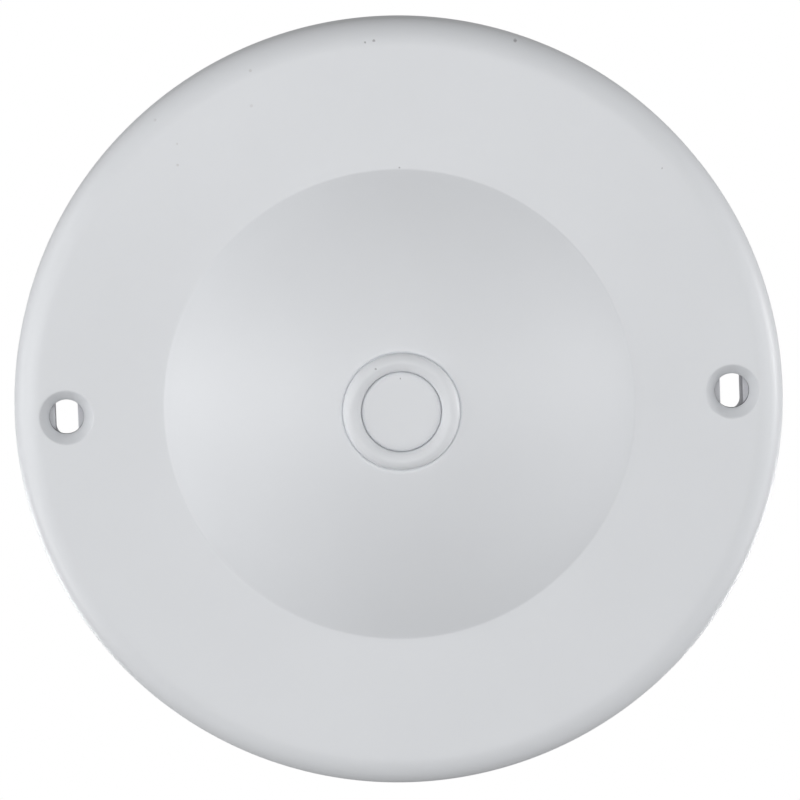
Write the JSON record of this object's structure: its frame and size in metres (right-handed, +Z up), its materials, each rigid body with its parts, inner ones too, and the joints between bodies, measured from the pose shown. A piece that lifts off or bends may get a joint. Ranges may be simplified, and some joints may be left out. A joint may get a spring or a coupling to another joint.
{
  "type": "heat detector",
  "caption": "Round surface heat detector: white cover with a flat flange and countersunk holes, domed air chamber, fusible element in its centre and a rear terminal block.",
  "frame": {"origin": "centre of the rear mounting plane, where the cover's rim and the base meet the wall, ceiling or box", "axes": "-Y towards the room, out of the front of the cover; +Y into the box behind it; +Z up and +X to the right as the front is looked at, with the two screw holes on the X axis"},
  "size_m": [0.1174, 0.0404, 0.1174],
  "materials": {
    "cover_enamel": "satin white enamel on spun sheet metal, with a very faint orange-peel grain",
    "ring_enamel": "the same satin white enamel as the cover, slightly thinner on its rounded crest",
    "disc_enamel": "thin satin white enamel on the heat collector",
    "base_resin": "matte white moulded thermoset",
    "block_resin": "matte black phenolic with fine filler speckle",
    "seal_rubber": "soft matte black synthetic rubber",
    "fibre_washer": "dull red vulcanised fibre",
    "brass": "turned brass with fine tool rings",
    "terminal_brass": "nickel-free rolled brass strip, slightly tarnished",
    "phosphor_bronze": "bright rolled phosphor bronze leaf",
    "zinc_steel": "bright zinc plate on steel",
    "spring_steel": "drawn spring wire with a light oil film",
    "fusible_alloy": "dull grey cast low-melting alloy",
    "contact_silver": "polished fine silver with a brushed face",
    "vent_felt": "pressed fibre filter felt",
    "sealing_wax": "hard red sealing compound, glossy"
  },
  "bodies": {
    "housing": {"front_cover": "cover_enamel", "base": "base_resin", "terminal_block": "block_resin", "block_screws": "zinc_steel", "chamber_gasket": "seal_rubber", "element_sleeve": "ring_enamel", "sleeve_washer": "fibre_washer", "sleeve_nut": "brass", "sleeve_plug": "brass", "plunger_spring": "spring_steel", "diaphragm_gasket": "seal_rubber", "diaphragm": "phosphor_bronze", "diaphragm_ring": "zinc_steel", "diaphragm_screws": "zinc_steel", "blade_rivet": "brass", "blade_post": "brass", "contact_bracket": "brass", "calibration_nut": "brass", "calibration_plug": "sealing_wax", "busbar_left": "terminal_brass", "busbar_right": "terminal_brass", "vent_fitting": "brass", "vent_filter": "vent_felt"},
    "collector": {"collector_disc": "disc_enamel", "eutectic_ring": "fusible_alloy"},
    "plunger": {"plunger": "brass"},
    "diaphragm_centre": {"diaphragm_button": "brass"},
    "contact_arm": {"contact_blade": "phosphor_bronze", "moving_contact": "contact_silver"},
    "fixed_contact": {"fixed_contact": "contact_silver"},
    "calibration_screw": {"calibration_screw": "zinc_steel"},
    "clamp_1": {"terminal_clamp_1": "zinc_steel"},
    "screw_1": {"terminal_screw_1": "zinc_steel"},
    "clamp_2": {"terminal_clamp_2": "zinc_steel"},
    "screw_2": {"terminal_screw_2": "zinc_steel"},
    "clamp_3": {"terminal_clamp_3": "zinc_steel"},
    "screw_3": {"terminal_screw_3": "zinc_steel"},
    "clamp_4": {"terminal_clamp_4": "zinc_steel"},
    "screw_4": {"terminal_screw_4": "zinc_steel"}
  },
  "joints": [
    {"name": "collector_drop", "type": "slide", "parent": "housing", "child": "collector", "axis": [0, -1, 0], "range_m": [0, 0.006]},
    {"name": "plunger_release", "type": "slide", "parent": "housing", "child": "plunger", "axis": [0, 1, 0], "range_m": [0, 0.0022], "deforming": ["plunger_spring"]},
    {"name": "diaphragm_stroke", "type": "slide", "parent": "housing", "child": "diaphragm_centre", "axis": [0, 1, 0], "range_m": [0, 0.00042], "stiffness_N_per_m": 150, "deforming": ["diaphragm"]},
    {"name": "contact_close", "type": "hinge", "parent": "housing", "child": "contact_arm", "pos_m": [-0.013, 0.00072, 0], "axis": [0, 0, 1], "range_deg": [0, 1.9], "deforming": ["contact_blade"]},
    {"name": "calibration_travel", "type": "slide", "parent": "housing", "child": "fixed_contact", "axis": [0, 1, 0], "range_m": [0, 0.00045]},
    {"name": "calibration_turn", "type": "hinge", "parent": "fixed_contact", "child": "calibration_screw", "pos_m": [0.005, 0.005, 0], "axis": [0, 1, 0], "range_deg": [0, 360]},
    {"name": "clamp_1_lift", "type": "slide", "parent": "housing", "child": "clamp_1", "axis": [0, 1, 0], "range_m": [0, 0.00159]},
    {"name": "screw_1_turn", "type": "hinge", "parent": "clamp_1", "child": "screw_1", "pos_m": [-0.018, 0.014, 0.0085], "axis": [0, 1, 0], "range_deg": [0, 720]},
    {"name": "clamp_2_lift", "type": "slide", "parent": "housing", "child": "clamp_2", "axis": [0, 1, 0], "range_m": [0, 0.00159]},
    {"name": "screw_2_turn", "type": "hinge", "parent": "clamp_2", "child": "screw_2", "pos_m": [-0.018, 0.014, -0.0085], "axis": [0, 1, 0], "range_deg": [0, 720]},
    {"name": "clamp_3_lift", "type": "slide", "parent": "housing", "child": "clamp_3", "axis": [0, 1, 0], "range_m": [0, 0.00159]},
    {"name": "screw_3_turn", "type": "hinge", "parent": "clamp_3", "child": "screw_3", "pos_m": [0.018, 0.014, 0.0085], "axis": [0, 1, 0], "range_deg": [0, 720]},
    {"name": "clamp_4_lift", "type": "slide", "parent": "housing", "child": "clamp_4", "axis": [0, 1, 0], "range_m": [0, 0.00159]},
    {"name": "screw_4_turn", "type": "hinge", "parent": "clamp_4", "child": "screw_4", "pos_m": [0.018, 0.014, -0.0085], "axis": [0, 1, 0], "range_deg": [0, 720]}
  ],
  "couplings": [
    {"joint": "contact_close", "follows": "diaphragm_stroke", "rad_per_m": 76.9},
    {"joint": "calibration_turn", "follows": "calibration_travel", "rad_per_m": 13963},
    {"joint": "screw_1_turn", "follows": "clamp_1_lift", "rad_per_m": 7913.3},
    {"joint": "screw_2_turn", "follows": "clamp_2_lift", "rad_per_m": 7913.3},
    {"joint": "screw_3_turn", "follows": "clamp_3_lift", "rad_per_m": 7913.3},
    {"joint": "screw_4_turn", "follows": "clamp_4_lift", "rad_per_m": 7913.3}
  ]
}
